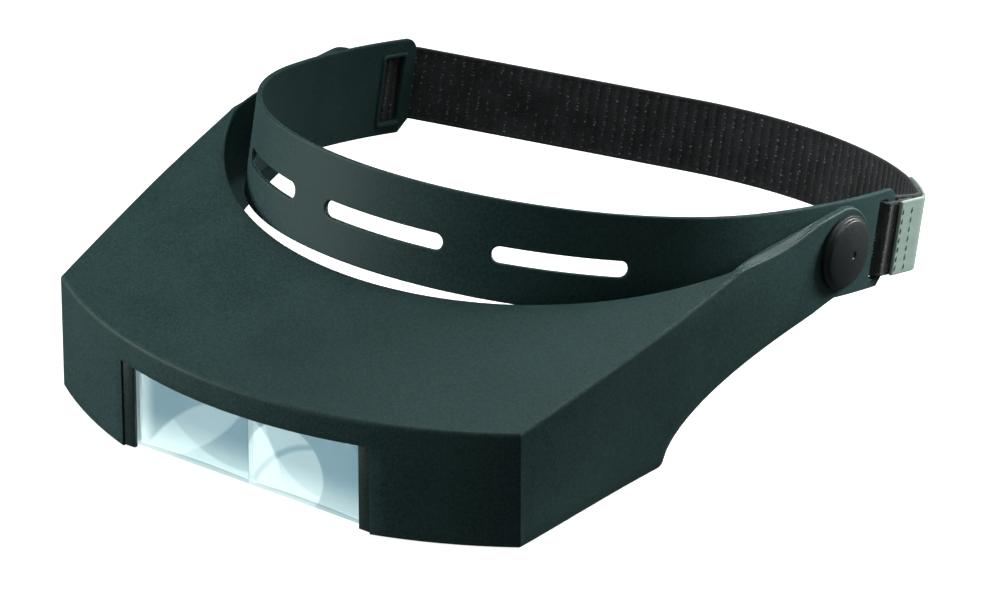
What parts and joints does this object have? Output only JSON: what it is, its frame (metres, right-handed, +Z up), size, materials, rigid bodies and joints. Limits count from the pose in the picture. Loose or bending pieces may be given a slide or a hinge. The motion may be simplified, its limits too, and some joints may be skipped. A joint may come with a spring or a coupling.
{
  "type": "head visor magnifier",
  "caption": "Head-worn visor magnifier: a bowed visor holds a lens pair in its front window and tilts on two friction pivots on a slotted headband closed by a webbing strap.",
  "frame": {"origin": "centre of the bounding box's base, on the plane that the visor's rim stands on", "axes": "+X to the wearer's left, along the pivot axis; +Y from the forehead to the back of the head; +Z up"},
  "size_m": [0.2182, 0.2718, 0.086],
  "materials": {
    "shell_plastic": "fine matte grain, very dark green",
    "band_plastic": "fine matte grain, very dark green",
    "cap_plastic": "satin, near black",
    "lens": "clear polished acrylic",
    "webbing": "ribbed woven webbing, black",
    "hook_tape": "smooth satin backing, pale grey-green",
    "thread": "dark thread"
  },
  "bodies": {
    "headband": {"headband": "band_plastic", "pivot_cap_left": "cap_plastic", "pivot_cap_right": "cap_plastic", "friction_washer_left": "cap_plastic", "friction_washer_right": "cap_plastic", "strap_webbing": "webbing", "hook_tape": "hook_tape", "seam_stitches": "thread", "hem_stitches": "thread"},
    "visor": {"visor_shell": "shell_plastic", "lens_guide_left": "shell_plastic", "lens_guide_right": "shell_plastic"},
    "lens_pair": {"lens_left": "lens", "lens_right": "lens"}
  },
  "joints": [
    {"name": "visor_tilt", "type": "hinge", "parent": "headband", "child": "visor", "pos_m": [0, 0.0488, 0.045], "axis": [-1, 0, 0], "range_deg": [-12, 75]},
    {"name": "lens_slide", "type": "slide", "parent": "visor", "child": "lens_pair", "axis": [0, 0, -1], "range_m": [0, 0.034]}
  ]
}
